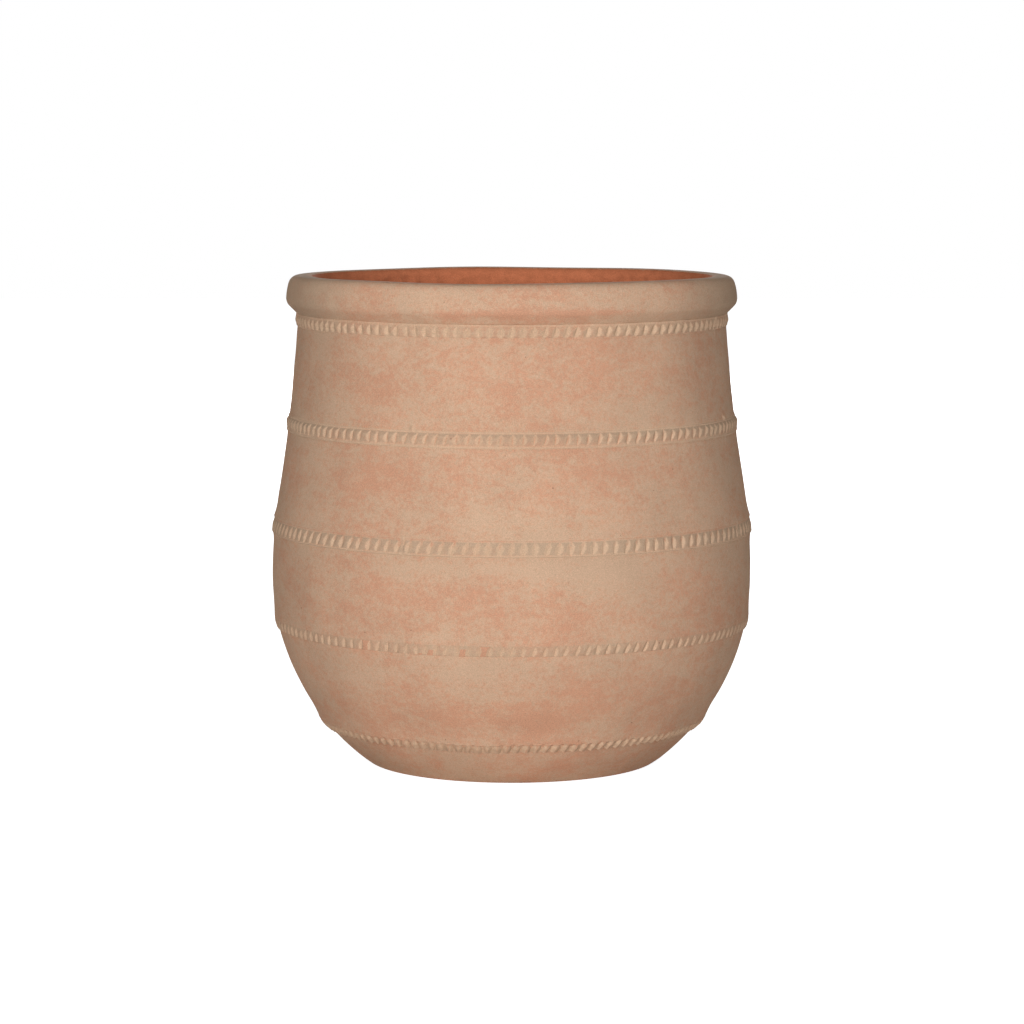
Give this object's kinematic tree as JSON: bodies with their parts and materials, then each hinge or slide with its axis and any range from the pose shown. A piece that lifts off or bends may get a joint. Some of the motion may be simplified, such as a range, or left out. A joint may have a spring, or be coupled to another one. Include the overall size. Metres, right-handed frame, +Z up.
{
  "type": "flower pot",
  "caption": "Wide belly-shaped terracotta flower pot with a thick rolled rim, notched rope bands round the wall and a drain hole in the floor, for planting on the ground.",
  "frame": {"origin": "on the ground under the middle of the pot", "axes": "+Z up along the pot's axis, front towards -Y, +X to the right as seen from the front"},
  "size_m": [0.45, 0.45, 0.455],
  "materials": {
    "washed_terracotta": "unglazed, pale lime wash over fired clay",
    "raw_terracotta": "unglazed fired clay"
  },
  "bodies": {
    "root": {"floor_slab": "raw_terracotta", "floor_coil": "raw_terracotta", "foot_course": "washed_terracotta", "lower_course": "washed_terracotta", "belly_course": "washed_terracotta", "shoulder_course": "washed_terracotta", "neck_course": "washed_terracotta", "rim_roll": "washed_terracotta", "foot_band": "washed_terracotta", "lower_band": "washed_terracotta", "belly_band": "washed_terracotta", "shoulder_band": "washed_terracotta", "neck_band": "washed_terracotta"}
  },
  "joints": []
}
